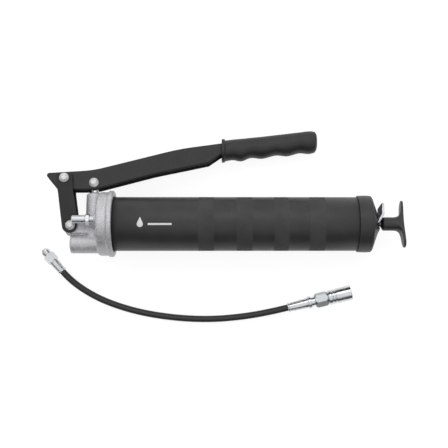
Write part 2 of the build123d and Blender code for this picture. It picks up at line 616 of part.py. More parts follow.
def coupler_pieces():
    """Hydraulic coupler: stem, hexagon body, turning sleeve, and the jaws inside it."""
    at, along = coupler_frame()
    place = facing(at, along)
    jaws = turned((
        (JAWS_START, JAW_R), (JAWS_START, 5.2), (JAWS_END - 1.8, 5.5), (JAWS_END, 4.9),
        (JAWS_END, JAW_R + 0.4), (JAWS_END - 0.4, JAW_R),
    ), at, along)
    jaws -= place * (Pos(63, 0, 0) * Box(14, JAW_SLIT, 20))
    jaws -= place * (Pos(63, 0, 0) * Box(14, 20, JAW_SLIT))
    flats, hexagon_start, hexagon_end = BODY
    barrel_end, barrel_r = BODY_BARREL
    valve_chamber = turned((
        (STEM_END - 1, 0), (STEM_END - 1, 1.6), (STEM_END + 3, 1.6),
        (STEM_END + 4, BODY_CHAMBER_R), (barrel_end + 0.5, BODY_CHAMBER_R),
        (barrel_end + 0.5, 0),
    ), at, along)
    groove_wide, groove_r = SLEEVE_GROOVE
    ribs = []
    for groove_start in SLEEVE_GROOVES:
        groove_end = groove_start + groove_wide
        ribs += [
            (groove_start, SLEEVE_R - 0.1, 0.3), (groove_start + 0.5, groove_r),
            (groove_end - 0.5, groove_r), (groove_end, SLEEVE_R - 0.1, 0.3),
        ]
    return {
        "coupler_ferrule": turned((
            (0, HOSE_BORE_R), (0, 4.4, 0.3), (1.2, 4.7, 0.5), (STEM_START, 5.7, 0.4),
            (STEM_START, HOSE_BORE_R),
        ), at, along),
        "coupler_stem": turned((
            (STEM_START, HOSE_BORE_R), (STEM_START, STEM_R, 0.5), (STEM_NECK, STEM_R, 0.5),
            (STEM_NECK, STEM_NECK_R), (hexagon_start, STEM_NECK_R),
            (hexagon_start, STEM_SPIGOT_R), (STEM_END, STEM_SPIGOT_R), (STEM_END, HOSE_BORE_R),
        ), at, along),
        "coupler_body": hexagon(
            flats, hexagon_start, hexagon_end, at, along, corner=2.4, turn=BODY_TURN)
        + sleeve(hexagon_end - 0.4, barrel_end, barrel_r, 0, at, along)
        - sleeve(hexagon_start - 0.3, STEM_END, STEM_SPIGOT_R, 0, at, along)
        - valve_chamber,
        "coupler_sleeve": turned((
            (SLEEVE_START, SLEEVE_BORE_R), (SLEEVE_START, SLEEVE_R - 0.5, 0.4),
            (SLEEVE_START + 1.8, SLEEVE_R - 0.1, 0.3), *ribs,
            (SLEEVE_END, SLEEVE_R, 0.8), (SLEEVE_END, SLEEVE_BORE_R),
        ), at, along),
        "coupler_jaws": jaws,
        "coupler_seal": sleeve(*COUPLER_SEAL, at, along),
        "coupler_spring": sleeve(*COUPLER_SPRING, at, along),
        "coupler_ball": place * ball(2.2, (COUPLER_BALL_AT, 0, 0)),
    }


def gun_pieces():
    pieces = {"head_casting": head_casting()}
    pieces.update(pump_pieces())
    pieces.update(filler_pieces())
    pieces["barrel_tube"] = sleeve(
        BARREL_START, BARREL_END, BARREL_R, BARREL_R - BARREL_WALL)
    pieces["rear_cap"] = rear_cap()
    pieces["rod_bush"] = sleeve(*BUSH, ROD_R + RUNNING)
    pieces["latch_plate"] = latch_plate()
    pieces["latch_spring"] = sleeve(*LATCH_SPRING)
    pieces.update(follower_pieces())
    pieces.update(rod_pieces())
    pieces["link_arm"] = link_arm()
    pieces["lug_rivet"] = rivet(PIN_LUG, LINK_LOW_INNER + LINK_SHEET)
    pieces["lever_rivet"] = rivet(PIN_LEVER, LINK_TOP_INNER + LINK_SHEET)
    pieces["lever_channel"] = lever_channel()
    pieces["plunger_rivet"] = rivet(PIN_PLUNGER, LEVER_HALF)
    pieces["lever_grip"] = lever_grip()
    return pieces


LAID = Pos(*GUN_AT) * Rot(0, PITCH, 0) * Rot(-ROLL, 0, 0)


def hose_pieces():
    pieces = {"hose_tube": hose_tube()}
    pieces.update(hose_end_pieces())
    pieces.update(coupler_pieces())
    return pieces


def main():
    os.makedirs("parts", exist_ok=True)
    laid = {name: LAID * piece for name, piece in gun_pieces().items()}
    laid.update(hose_pieces())
    for name, piece in laid.items():
        export_step(piece, f"parts/{name}.step")


if __name__ == "__main__":
    main()
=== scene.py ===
import json
import math

import bmesh
import bpy
import numpy as np
from mathutils import Matrix, Vector, noise


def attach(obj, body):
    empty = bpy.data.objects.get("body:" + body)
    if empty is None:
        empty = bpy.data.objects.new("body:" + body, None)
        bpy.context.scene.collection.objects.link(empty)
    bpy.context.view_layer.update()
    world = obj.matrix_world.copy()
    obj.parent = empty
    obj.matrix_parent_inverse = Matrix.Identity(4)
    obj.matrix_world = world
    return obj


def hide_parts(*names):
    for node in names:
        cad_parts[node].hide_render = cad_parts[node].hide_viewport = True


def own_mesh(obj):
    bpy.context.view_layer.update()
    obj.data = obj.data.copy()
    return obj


# Looks of the lever grease gun and its detached hose.  The row frame is in metres; the
# pieces made here are drawn in millimetres, in the frame of the thing that they are on.

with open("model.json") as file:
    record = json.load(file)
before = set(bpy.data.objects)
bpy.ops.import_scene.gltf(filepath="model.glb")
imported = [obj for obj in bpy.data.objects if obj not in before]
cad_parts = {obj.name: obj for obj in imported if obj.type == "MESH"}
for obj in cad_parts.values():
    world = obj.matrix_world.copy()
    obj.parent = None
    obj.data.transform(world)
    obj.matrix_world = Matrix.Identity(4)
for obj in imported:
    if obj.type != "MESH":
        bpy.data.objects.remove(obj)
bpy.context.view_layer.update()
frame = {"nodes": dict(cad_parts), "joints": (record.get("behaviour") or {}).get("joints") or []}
NODES = frame["nodes"]
JOINTS = {joint["name"]: joint for joint in frame["joints"]}
MM = 0.001


def local_frame(origin, along, side):
    """Matrix from millimetres in a frame with X along and Y to a side, to the row frame."""
    x_axis = Vector(along).normalized()
    z_axis = x_axis.cross(Vector(side)).normalized()
    y_axis = z_axis.cross(x_axis)
    turn = Matrix((x_axis, y_axis, z_axis)).transposed().to_4x4()
    return Matrix.Translation(Vector(origin)) @ turn @ Matrix.Scale(MM, 4)


# The hose: its diameter, and the points of its route on the table
HOSE_DIAMETER = 0.0070
HOSE_ROUTE = (
    (-0.1751, -0.0824, 0.0055),
    (-0.1680, -0.0905, 0.0055),
    (-0.1527, -0.1024, 0.0046),
    (-0.1335, -0.1131, 0.0037),
    (-0.1115, -0.1213, 0.00355),
    (-0.0879, -0.1275, 0.0035),
    (-0.0622, -0.1316, 0.00355),
    (-0.0364, -0.1338, 0.0035),
    (-0.0107, -0.1339, 0.00355),
    (0.0129, -0.1318, 0.0036),
    (0.0312, -0.1291, 0.0046),
    (0.0483, -0.1255, 0.0068),
    (0.0583, -0.1231, 0.0080),
    (0.0666, -0.1211, 0.0080),
)

# The gun's own frame: X back along the barrel, Y towards the lever, origin where the
# plunger's axis meets the barrel's.  The rod's joint stands on its head's front face.
ROD_HEAD_X = 11.0
BARREL_AXIS = Vector(JOINTS["follower_travel"]["axis"])
LEVER_SIDE = Vector(JOINTS["plunger_stroke"]["axis"])
GUN = local_frame(
    Vector(JOINTS["rod_turn"]["pos_m"]) - BARREL_AXIS * ROD_HEAD_X * MM,
    BARREL_AXIS, LEVER_SIDE)

# In the gun's frame: (x, y) of the two pins, (y, z) of the outlet and the filler, and the
# radius of the follower's rod
LUG_PIN = (-22.9, -3.5)
LEVER_PIN = (-31.3, 47.2)
OUTLET = (-20.8, 0)
FILLER = (0.6, 20.0)
ROD_R = 3.0

# Frames of the hose's two ends, X pointing out of the hose
UP = Vector((0, 0, 1))
END_OUT = Vector(HOSE_ROUTE[0]) - Vector(HOSE_ROUTE[1])
HOSE_END = local_frame(HOSE_ROUTE[0], END_OUT, UP.cross(END_OUT))
COUPLER_OUT = Vector(JOINTS["coupler_sleeve_turn"]["axis"])
COUPLER = local_frame(HOSE_ROUTE[-1], COUPLER_OUT, UP.cross(COUPLER_OUT))


# ---------------------------------------------------------------- camera, floor and light

def add_camera():
    """Looks straight down on the gun from about a metre up."""
    height = 0.962
    along_barrel = 155.5
    over = GUN @ Vector((along_barrel, 0, 0))
    camera = bpy.data.objects.new("camera", bpy.data.cameras.new("camera"))
    camera.location = (over.x, over.y, height)
    camera.data.lens = 71.8
    camera.data.sensor_width = 36
    camera.data.shift_x = -0.0446
    camera.data.clip_start = 0.01
    bpy.context.scene.collection.objects.link(camera)
    bpy.context.scene.camera = camera


def add_light(name, place, target, width, depth, power):
    """Rectangular soft box that faces a point."""
    lamp = bpy.data.lights.new(name, "AREA")
    lamp.shape = "RECTANGLE"
    lamp.size, lamp.size_y = width, depth
    lamp.energy = power
    light = bpy.data.objects.new(name, lamp)
    light.location = place
    aim = Vector(target) - Vector(place)
    light.rotation_euler = aim.to_track_quat("-Z", "Y").to_euler()
    bpy.context.scene.collection.objects.link(light)


def add_sky():
    """Even studio light from above and behind the lever, falling off to the other side."""
    world = bpy.data.worlds.new("studio")
    world.use_nodes = True
    tree = world.node_tree
    direction = node(tree, "TexCoord").outputs["Generated"]
    facing = node(tree, "VectorMath", {0: direction, 1: (0.0, 0.48, 0.88)},
                  operation="DOT_PRODUCT").outputs["Value"]
    glow = node(tree, "MapRange", {
        "Value": facing, "From Min": 0.10, "From Max": 0.66, "To Min": 0.06, "To Max": 1.0,
    }, interpolation_type="SMOOTHSTEP").outputs["Result"]
    tree.links.new(glow, tree.nodes["Background"].inputs["Strength"])
    tree.nodes["Background"].inputs["Color"].default_value = (1.0, 1.0, 1.0, 1)
    bpy.context.scene.world = world


def add_studio():
    """Pale light table under an even studio sky, with one soft box behind the lever."""
    bpy.context.scene.view_settings.view_transform = "Standard"
    add_sky()
    add_light("key", (-0.1, 0.9, 1.3), (0.0, -0.03, 0.0), 1.2, 0.6, 3.0)

    reach = 12
    plane = bpy.data.meshes.new("table")
    corners = [(-reach, -reach, 0), (reach, -reach, 0), (reach, reach, 0), (-reach, reach, 0)]
    plane.from_pydata(corners, [], [(0, 1, 2, 3)])
    table = bpy.data.objects.new("table", plane)
    bpy.context.scene.collection.objects.link(table)
    plane.materials.append(table_paint())


# ---------------------------------------------------------------- materials

def node(tree, kind, inputs=None, **settings):
    """Adds a shader node; an input is a value, or the socket that feeds it."""
    made = tree.nodes.new("ShaderNode" + kind)
    for name, value in settings.items():
        setattr(made, name, value)
    for key, value in (inputs or {}).items():
        socket = made.inputs[key]
        if isinstance(value, bpy.types.NodeSocket):
            tree.links.new(value, socket)
        else:
            socket.default_value = value
    return made


def coordinates(tree, place=None):
    """Points of the piece in metres, in the row frame or in a local frame's axes."""
    point = node(tree, "TexCoord").outputs["Object"]
    if place is None:
        return point
    turn = place.to_quaternion().to_matrix().transposed()
    mapping = node(tree, "Mapping", {
        "Vector": point,
        "Rotation": turn.to_euler(),
        "Location": turn @ -place.translation,
    })
    return mapping.outputs["Vector"]


def spots(tree, point, size, detail=2.0, roughness=0.5):
    """Noise from 0 to 1 whose blobs are about a size in metres."""
    return node(tree, "TexNoise", {
        "Vector": point, "Scale": 1 / size, "Detail": detail, "Roughness": roughness,
    }).outputs["Fac"]


def pebbles(tree, point, size):
    """Voronoi distance, 0 in the middle of each grain of about a size in metres."""
    return node(tree, "TexVoronoi", {"Vector": point, "Scale": 1 / size}).outputs["Distance"]


def spread(tree, value, low, high, start=0.3, end=0.7):
    """Maps a texture's usual range to two values."""
    return node(tree, "MapRange", {
        "Value": value, "From Min": start, "From Max": end, "To Min": low, "To Max": high,
    }).outputs["Result"]


def tints(tree, value, dark, light, start=0.3, end=0.7):
    """Colour between two tints, by a texture's value."""
    ramp = node(tree, "ValToRGB", {"Fac": value})
    ramp.color_ramp.elements[0].position = start
    ramp.color_ramp.elements[0].color = (*dark, 1)
    ramp.color_ramp.elements[1].position = end
    ramp.color_ramp.elements[1].color = (*light, 1)
    return ramp.outputs["Color"]


def calculated(tree, first, second, operation="MULTIPLY"):
    """Result of a math node on two values."""
    return node(tree, "Math", {0: first, 1: second}, operation=operation).outputs[0]


def bump(tree, height, depth, strength, under=None):
    """Normal from a height; depth in metres is the height of a value of 1."""
    inputs = {"Height": height, "Distance": depth, "Strength": strength}
    if under is not None:
        inputs["Normal"] = under
    return node(tree, "Bump", inputs).outputs["Normal"]


def soft_edges(tree, radius):
    """Normal of the surface with its edges broken by a small radius."""
    return node(tree, "Bevel", {"Radius": radius}, samples=4).outputs["Normal"]


def material(name, paint):
    """New material whose shader inputs are what paint(tree) returns."""
    made = bpy.data.materials.new(name)
    made.use_nodes = True
    tree = made.node_tree
    shader = tree.nodes["Principled BSDF"]
    for key, value in paint(tree).items():
        socket = shader.inputs[key]
        if isinstance(value, bpy.types.NodeSocket):
            tree.links.new(value, socket)
        else:
            socket.default_value = value
    return made


def table_paint():
    def paint(tree):
        grain = spots(tree, coordinates(tree), 0.004)
        return {
            "Base Color": tints(tree, grain, (0.23, 0.23, 0.23), (0.25, 0.25, 0.25)),
            "Roughness": 0.8,
            "Specular IOR Level": 0.15,
            "Emission Color": (1.0, 1.0, 1.0, 1),
            "Emission Strength": 0.86,
        }
    return material("pale_table", paint)


def powder_coat(name, dark=0.017, light=0.025, roughness=0.45, shine=0.5):
    """Matt black powder coat: orange peel, fine sparkle and broken edges."""
    def paint(tree):
        point = coordinates(tree)
        cloud = spots(tree, point, 0.018, 3.0)
        peel = spots(tree, point, 0.0011, 3.0, 0.6)
        fleck = pebbles(tree, point, 0.0007)
        sparkle = spread(tree, fleck, 1.5, 1.0, 0.06, 0.2)
        tone = tints(tree, cloud, (dark,) * 3, (light,) * 3)
        gain = node(tree, "CombineXYZ", {0: sparkle, 1: sparkle, 2: sparkle}).outputs[0]
        bright = node(tree, "VectorMath", {0: tone, 1: gain}, operation="MULTIPLY")
        edges = soft_edges(tree, 0.0004)
        return {
            "Base Color": bright.outputs[0],
            "Roughness": spread(tree, peel, roughness - 0.07, roughness + 0.08),
            "Specular IOR Level": shine,
            "Normal": bump(tree, peel, 0.00006, 0.8, edges),
        }
    return material(name, paint)


def cast_aluminium():
    """Grainy die-cast skin, with a little stain in random patches."""
    def paint(tree):
        point = coordinates(tree)
        grain = spots(tree, point, 0.0016, 4.0, 0.65)
        pores = pebbles(tree, point, 0.0009)
        stain = spots(tree, point, 0.012, 3.0)
        tone = tints(tree, grain, (0.40, 0.40, 0.42), (0.77, 0.77, 0.80))
        worn = node(tree, "MixRGB", {
            "Fac": spread(tree, stain, 0.0, 0.35), "Color1": tone,
            "Color2": (0.46, 0.46, 0.45, 1),
        }).outputs["Color"]
        return {
            "Base Color": worn,
            "Metallic": 0.8,
            "Roughness": spread(tree, grain, 0.44, 0.66),
            "Normal": bump(tree, pores, 0.00006, 0.8, bump(tree, grain, 0.00022, 0.9)),
        }
    return material("cast_aluminium", paint)


def turned_steel(name, place, base, roughness):
    """Plated steel with fine turning rings about a frame's X axis."""
    def paint(tree):
        point = coordinates(tree, place)
        apart = node(tree, "SeparateXYZ", {0: point})
        along, side, height = apart.outputs
        squares = calculated(tree, calculated(tree, side, side),
                             calculated(tree, height, height), "ADD")
        radius = calculated(tree, squares, 0.5, "POWER")
        ringed = node(tree, "CombineXYZ", {0: along, 1: radius, 2: 0.0}).outputs[0]
        rings = spots(tree, ringed, 0.00018)
        smear = spots(tree, point, 0.003, 3.0)
        dark = tuple(channel * 0.86 for channel in base)
        return {
            "Base Color": tints(tree, smear, dark, base),
            "Metallic": 1.0,
            "Roughness": spread(tree, smear, roughness - 0.05, roughness + 0.09),
            "Normal": bump(tree, rings, 0.000012, 0.5, soft_edges(tree, 0.0003)),
        }
    return material(name, paint)


def peened_steel():
    """Bright rivets, with the soft dimples that riveting leaves."""
    def paint(tree):
        point = coordinates(tree)
        dimple = spots(tree, point, 0.0022, 1.5)
        grain = spots(tree, point, 0.0004, 2.0)
        return {
            "Base Color": tints(tree, dimple, (0.58, 0.58, 0.58), (0.78, 0.78, 0.79)),
            "Metallic": 1.0,
            "Roughness": spread(tree, grain, 0.52, 0.66),
            "Normal": bump(tree, dimple, 0.0007, 0.6, bump(tree, grain, 0.00002, 0.5)),
        }
    return material("bright_rivet", paint)


def spring_wire():
    def paint(tree):
        point = coordinates(tree)
        drawn = spots(tree, point, 0.0009, 3.0)
        return {
            "Base Color": tints(tree, drawn, (0.20, 0.20, 0.21), (0.36, 0.36, 0.37)),
            "Metallic": 1.0,
            "Roughness": spread(tree, drawn, 0.28, 0.42),
            "Normal": bump(tree, drawn, 0.00003, 0.5),
        }
    return material("spring_steel", paint)


def moulded(name, dark, light, roughness, grain_size, grain_depth):
    """Black moulded plastic or rubber with a fine spark-eroded grain."""
    def paint(tree):
        point = coordinates(tree)
        pebble = pebbles(tree, point, grain_size)
        fine = spots(tree, point, grain_size * 0.6, 3.0)
        cloud = spots(tree, point, 0.014)
        edges = soft_edges(tree, 0.0003)
        rough = bump(tree, fine, grain_depth * 0.5, 0.6, edges)
        return {
            "Base Color": tints(tree, cloud, dark, light),
            "Roughness": spread(tree, fine, roughness - 0.06, roughness + 0.08),
            "Normal": bump(tree, pebble, grain_depth, 0.7, rough),
        }
    return material(name, paint)


def hose_skin():
    """Smooth extruded rubber cover: a soft gloss with faint drawn unevenness."""
    def paint(tree):
        point = coordinates(tree)
        wave = spots(tree, point, 0.006, 2.0)
        dust = spots(tree, point, 0.0005, 3.0)
        return {
            "Base Color": tints(tree, wave, (0.012, 0.012, 0.013), (0.019, 0.019, 0.020)),
            "Roughness": spread(tree, dust, 0.30, 0.42),
            "Normal": bump(tree, dust, 0.00002, 0.6, bump(tree, wave, 0.00012, 0.4)),
        }
    return material("hose_rubber", paint)


def white_ink():
    def paint(tree):
        speck = spots(tree, coordinates(tree), 0.0005, 3.0)
        return {
            "Base Color": tints(tree, speck, (0.66, 0.66, 0.65), (0.84, 0.84, 0.83)),
            "Roughness": 0.5,
            "Normal": bump(tree, speck, 0.00002, 0.5),
        }
    return material("white_ink", paint)


PLATE = (0.70, 0.72, 0.74)
STEEL = (0.60, 0.60, 0.61)
FINISH = {
    "coat": powder_coat("black_coat"),
    # knurled bands: a rougher coat, and its lighter colour is painted light for the light the
    # knurling's facets catch
    "knurl": powder_coat("knurl_coat_painted_light", 0.034, 0.048, 0.72),
    "casting": cast_aluminium(),
    "gun_plate": turned_steel("gun_plate", GUN, (0.60, 0.62, 0.64), 0.26),
    "end_plate": turned_steel("end_plate", HOSE_END, PLATE, 0.22),
    "coupler_plate": turned_steel("coupler_plate", COUPLER, PLATE, 0.20),
    "hexagon_plate": turned_steel("hexagon_plate", COUPLER, (0.38, 0.40, 0.41), 0.22),
    "rivet": peened_steel(),
    "ground": turned_steel("ground_steel", GUN, STEEL, 0.20),
    # painted shade: near-black steel for the follower rod, whose stretch between cap and handle
    # lies in a dark gap
    "rod": turned_steel("rod_steel_painted_shade", GUN, (0.11, 0.11, 0.115), 0.34),
    "spring": spring_wire(),
    # painted shade: near-black copy of the coat for the latch plate's wide faces and its part
    # inside the cap's slot
    "painted_shade_plate": powder_coat("painted_shade_plate", 0.005, 0.010, 0.60, 0.2),
    "lever_coat": powder_coat("lever_coat", 0.011, 0.018, 0.48, 0.42),
    "link_coat": powder_coat("link_coat", 0.009, 0.015, 0.50, 0.34),
    "grip": moulded("grip_plastic", (0.012, 0.012, 0.0115), (0.020, 0.020, 0.019), 0.52,
                    0.0010, 0.00010),
    "handle": moulded("handle_plastic", (0.014, 0.0145, 0.016), (0.021, 0.022, 0.024), 0.40,
                      0.0016, 0.00003),
    "seal": moulded("seal_rubber", (0.018, 0.018, 0.018), (0.028, 0.028, 0.028), 0.55,
                    0.0007, 0.00003),
    "hose": hose_skin(),
    "ink": white_ink(),
}

# Which finish each CAD node shows, where no piece stands for it
SHOWN_AS = {
    "coat": ("rear_cap",),
    "lever_coat": ("lever_channel",),
    "gun_plate": ("filler_nipple_body", "check_retainer", "follower_front_washer",
                  "follower_rear_washer", "rod_clip"),
    "rivet": ("lug_rivet", "lever_rivet", "plunger_rivet"),
    "ground": ("plunger", "follower_hub", "rod_bush", "check_ball", "filler_nipple_ball"),
    # the follower rod's near-black steel is painted shade
    "rod": ("follower_rod",),
    "end_plate": ("hose_end_fitting",),
    "coupler_plate": ("coupler_stem", "coupler_sleeve", "coupler_jaws", "coupler_ball"),
    "hexagon_plate": ("coupler_body",),
    "seal": ("head_gasket", "plunger_seal", "follower_cup", "coupler_seal"),
}


def finish_nodes():
    for finish, names in SHOWN_AS.items():
        for name in names:
            slots = NODES[name].data.materials
            slots.clear()
            slots.append(FINISH[finish])


# ---------------------------------------------------------------- mesh tools

def piece(mesh_data, name, body, finish, stands_for=(), crease=35):
    """Object from a mesh in the row frame, shaded smooth between its creases."""
    mesh_data.name = name
    mesh_data.shade_smooth()
    mesh_data.set_sharp_from_angle(angle=math.radians(crease))
    mesh_data.materials.clear()
    mesh_data.materials.append(FINISH[finish])
    made = bpy.data.objects.new(name, mesh_data)
    bpy.context.scene.collection.objects.link(made)
    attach(made, body)
    if stands_for:
        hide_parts(*stands_for)
    return made


def closed_mesh(points, faces, place, weld=0.001):
    """Mesh in the row frame from points in millimetres, welded, its normals outward."""
    build = bmesh.new()
    corners = [build.verts.new(point) for point in points]
    for face in faces:
        build.faces.new([corners[index] for index in face])
    bmesh.ops.remove_doubles(build, verts=build.verts, dist=weld)
    bmesh.ops.dissolve_degenerate(build, edges=build.edges, dist=weld)
    bmesh.ops.recalc_face_normals(build, faces=build.faces)
    build.transform(place)
    made = bpy.data.meshes.new("mesh")
    build.to_mesh(made)
    build.free()
    return made


def rounded(outline):
    """Closed outline of (x, r) points; a third value rounds that corner with an arc."""
    steps = 4
    path = []
    count = len(outline)
    for index, corner in enumerate(outline):
        here = Vector(corner[:2])
        radius = corner[2] if len(corner) > 2 else 0
        if not radius:
            path.append(here)
            continue
        before = (Vector(outline[index - 1][:2]) - here).normalized()
        after = (Vector(outline[(index + 1) % count][:2]) - here).normalized()
        half = before.angle(after) / 2
        middle = here + (before + after).normalized() * radius / math.sin(half)
        reach = radius / math.tan(half)
        first = here + before * reach - middle
        last = here + after * reach - middle
        for step in range(steps + 1):
            path.append(middle + first.slerp(last, step / steps, first))
    return path


def lathe(outline, place, around, shape):
    """Solid turned about X; shape(x, r, angle) gives each point's own radius."""
    rows = len(outline)
    points = []
    for turn in range(around):
        angle = math.tau * turn / around
        for x, radius in outline:
            out = shape(x, radius, angle)
            points.append((x, out * math.cos(angle), out * math.sin(angle)))
    faces = []
    for turn in range(around):
        here, there = turn * rows, (turn + 1) % around * rows
        for row in range(rows):
            after = (row + 1) % rows
            faces.append((here + row, here + after, there + after, there + row))
    return closed_mesh(points, faces, place)


def coil(start, end, radius, wire, turns, place, around=28):
    """Round-wire helix about X, with a closed turn at each end."""
    sides = 10
    closed_pitch = 2.05 * wire
    steps = int(turns * around)
    pitch = (end - start - 2 * wire - 2 * closed_pitch) / (turns - 2)
    points = []
    for step in range(steps + 1):
        turn = step / around
        closed = min(turn, 1) + max(turn - turns + 1, 0)
        x = start + wire + closed * closed_pitch + (turn - closed) * pitch
        angle = math.tau * turn
        for side in range(sides):
            lean = math.tau * side / sides
            out = radius + wire * math.cos(lean)
            points.append((
                x + wire * math.sin(lean), out * math.cos(angle), out * math.sin(angle)))
    faces = []
    for step in range(steps):
        here, there = step * sides, (step + 1) * sides
        for side in range(sides):
            after = (side + 1) % sides
            faces.append((here + side, here + after, there + after, there + side))
    faces.append(tuple(range(sides)))
    faces.append(tuple(range(steps * sides, (steps + 1) * sides)))
    return closed_mesh(points, faces, place)


def softened(node_name, place, voxel, rounds, fixed, grain=0.0, grain_size=1.0):
    """Copy of a CAD node with its edges rounded, as casting, pressing or moulding does.

    The copy is remeshed and relaxed, except where fixed(points) says that a face has to
    keep its fit; grain is the height in millimetres of an uneven cast skin.
    """
    build = bmesh.new()
    build.from_mesh(NODES[node_name].data)
    build.transform(place.inverted())
    bmesh.ops.remove_doubles(build, verts=build.verts, dist=0.002)
    source = bpy.data.meshes.new("source")
    build.to_mesh(source)
    build.free()
    holder = bpy.data.objects.new("holder", source)
    bpy.context.scene.collection.objects.link(holder)
    remesh = holder.modifiers.new("remesh", "REMESH")
    remesh.mode = "VOXEL"
    remesh.voxel_size = voxel
    bpy.context.view_layer.update()
    ready = holder.evaluated_get(bpy.context.evaluated_depsgraph_get())
    made = bpy.data.meshes.new_from_object(ready)
    bpy.data.objects.remove(holder)
    relax(made, rounds, fixed)
    if grain:
        roughen(made, grain, grain_size, fixed)
    made.transform(place)
    return made


def points_of(mesh_data):
    """The mesh's points as an array of a row each."""
    flat = np.zeros(len(mesh_data.vertices) * 3)
    mesh_data.vertices.foreach_get("co", flat)
    return flat.reshape(-1, 3)


def relax(mesh_data, rounds, fixed):
    """Moves each free point half way to the middle of its neighbours, a few times."""
    points = points_of(mesh_data)
    ends = np.zeros(len(mesh_data.edges) * 2, dtype=int)
    mesh_data.edges.foreach_get("vertices", ends)
    first, second = ends.reshape(-1, 2).T
    neighbours = np.bincount(ends, minlength=len(points)).astype(float)[:, None]
    free = ~fixed(points)
    for _ in range(rounds):
        total = np.zeros_like(points)
        np.add.at(total, first, points[second])
        np.add.at(total, second, points[first])
        moved = 0.5 * points + 0.5 * total / neighbours
        points = np.where(free[:, None], moved, points)
    mesh_data.vertices.foreach_set("co", points.ravel())
    mesh_data.update()


def roughen(mesh_data, height, size, fixed):
    """Sinks the free skin by smooth noise of a height and grain size."""
    peak = 0.75
    points = points_of(mesh_data)
    normals = np.zeros(points.size)
    mesh_data.vertex_normals.foreach_get("vector", normals)
    lifts = np.array([
        noise.noise(Vector(point) / size) + 0.5 * noise.noise(Vector(point) / size * 2.3)
        for point in points
    ])
    lifts = np.where(fixed(points), peak, lifts)
    points += normals.reshape(-1, 3) * (height * (lifts - peak))[:, None]
    mesh_data.vertices.foreach_set("co", points.ravel())
    mesh_data.update()


# ---------------------------------------------------------------- hose

def add_hose():
    line = bpy.data.curves.new("hose", "CURVE")
    line.dimensions = "3D"
    line.bevel_depth = HOSE_DIAMETER / 2
    line.bevel_resolution = 8
    line.resolution_u = 12
    line.use_fill_caps = True
    spline = line.splines.new("NURBS")
    spline.points.add(len(HOSE_ROUTE) - 1)
    for control, place in zip(spline.points, HOSE_ROUTE):
        control.co = (*place, 1)
    spline.order_u = 3
    spline.use_endpoint_u = True
    line.materials.append(FINISH["hose"])
    hose = bpy.data.objects.new("hose", line)
    bpy.context.scene.collection.objects.link(hose)
    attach(hose, "hose")
    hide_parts("hose_tube")
    return hose


def crimped(outline, place, start, end):
    """Swaged ferrule: the press's jaws leave flats along it, with ridges between them."""
    jaws, depth, run_out = 8, 0.22, 1.2

    def shape(x, radius, angle):
        fade = min(max((x - start) / run_out, 0), max((end - x) / run_out, 0), 1)
        ridge = abs(math.sin(jaws * angle / 2)) ** 0.6
        return radius - depth * fade * (1 - ridge)
    return lathe(rounded(stretched(outline)), place, 160, shape)


def thread_ridge(start, end, radius, height, pitch, place, inward=False):
    """Helical V ridge about X, faded at both ends, its foot sunk into the skin."""
    around = 40
    sunk = 0.15
    flank = 0.42 * pitch
    turns = (end - start) / pitch
    steps = int(turns * around)
    points = []
    for step in range(steps + 1):
        share = step / steps
        angle = math.tau * turns * share
        x = start + (end - start) * share
        crest = height * min(1, share * 8, (1 - share) * 8)
        out = radius - crest if inward else radius + crest
        root = radius + sunk if inward else radius - sunk
        for offset, reach in ((-flank, root), (0, out), (flank, root)):
            points.append((x + offset, reach * math.cos(angle), reach * math.sin(angle)))
    faces = [(0, 1, 2), (3 * steps, 3 * steps + 1, 3 * steps + 2)]
    for step in range(steps):
        here, there = 3 * step, 3 * (step + 1)
        for corner in range(3):
            after = (corner + 1) % 3
            faces.append((here + corner, here + after, there + after, there + corner))
    return closed_mesh(points, faces, place, weld=0.0001)


def stretched(outline):
    """The outline's third side, cut into short lengths for a shape to work on."""
    length = 0.5
    before, first, second, *rest = outline[1:]
    count = int((second[0] - first[0]) / length)
    between = [
        (first[0] + (second[0] - first[0]) * step / count,
         first[1] + (second[1] - first[1]) * step / count)
        for step in range(1, count)
    ]
    return (outline[0], before, first, *between, second, *rest)


# Ferrules, as (x, r) from the mouth, and the stretch of each that is crimped
END_FERRULE = (
    (0, 1.8), (0, 4.1, 0.3), (1.2, 4.35, 0.5), (13.9, 4.95, 0.4), (13.9, 1.8),
)
END_CRIMP = (2.0, 12.0)
COUPLER_FERRULE = (
    (0, 1.8), (0, 4.4, 0.3), (1.2, 4.7, 0.5), (22.0, 5.7, 0.4), (22.0, 1.8),
)
COUPLER_CRIMP = (2.4, 18.0)

# Thread ridges: start, end, radius, height, pitch
END_THREAD = (25.0, 28.0, 4.62, 0.34, 1.0)
PORT_THREAD = (-23.2, -17.0, 4.5, 0.35, 1.0)


def add_hose_fittings():
    piece(crimped(END_FERRULE, HOSE_END, *END_CRIMP), "end_ferrule", "hose", "end_plate",
          ["hose_end_ferrule"])
    piece(crimped(COUPLER_FERRULE, COUPLER, *COUPLER_CRIMP), "connector_ferrule", "hose",
          "coupler_plate", ["coupler_ferrule"])
    piece(thread_ridge(*END_THREAD, HOSE_END), "end_thread", "hose", "end_plate")
    add_spring("connector_spring", "coupler_spring", "hose", COUPLER,
               (41.4, 55.3, 1.75, 0.24, 9))


# ---------------------------------------------------------------- barrel

BARREL_R = 28.0
BARREL_BORE = 26.8
BARREL_ENDS = (11.5, 284.0)
KNURL_BANDS = ((108.5, 124.6), (147.8, 164.0), (186.2, 201.3), (222.6, 238.8))
KNURL_PITCH = 2.0
KNURL_HEIGHT = 0.16
SKIN_R = BARREL_R - 0.5     # what lies further out is the barrel's outer skin


def knurl(x, radius, angle):
    """Diamond knurling, pressed into the barrel in bands."""
    run_out = 0.8
    if radius < SKIN_R:
        return radius
    for start, end in KNURL_BANDS:
        if start < x < end:
            count = round(math.tau * BARREL_R / KNURL_PITCH / 2) * 2
            fade = min(1, (x - start) / run_out, (end - x) / run_out)
            along = math.cos(math.tau * (x - start) / KNURL_PITCH)
            return radius + KNURL_HEIGHT * fade * (along * math.cos(count * angle) - 0.4)
    return radius


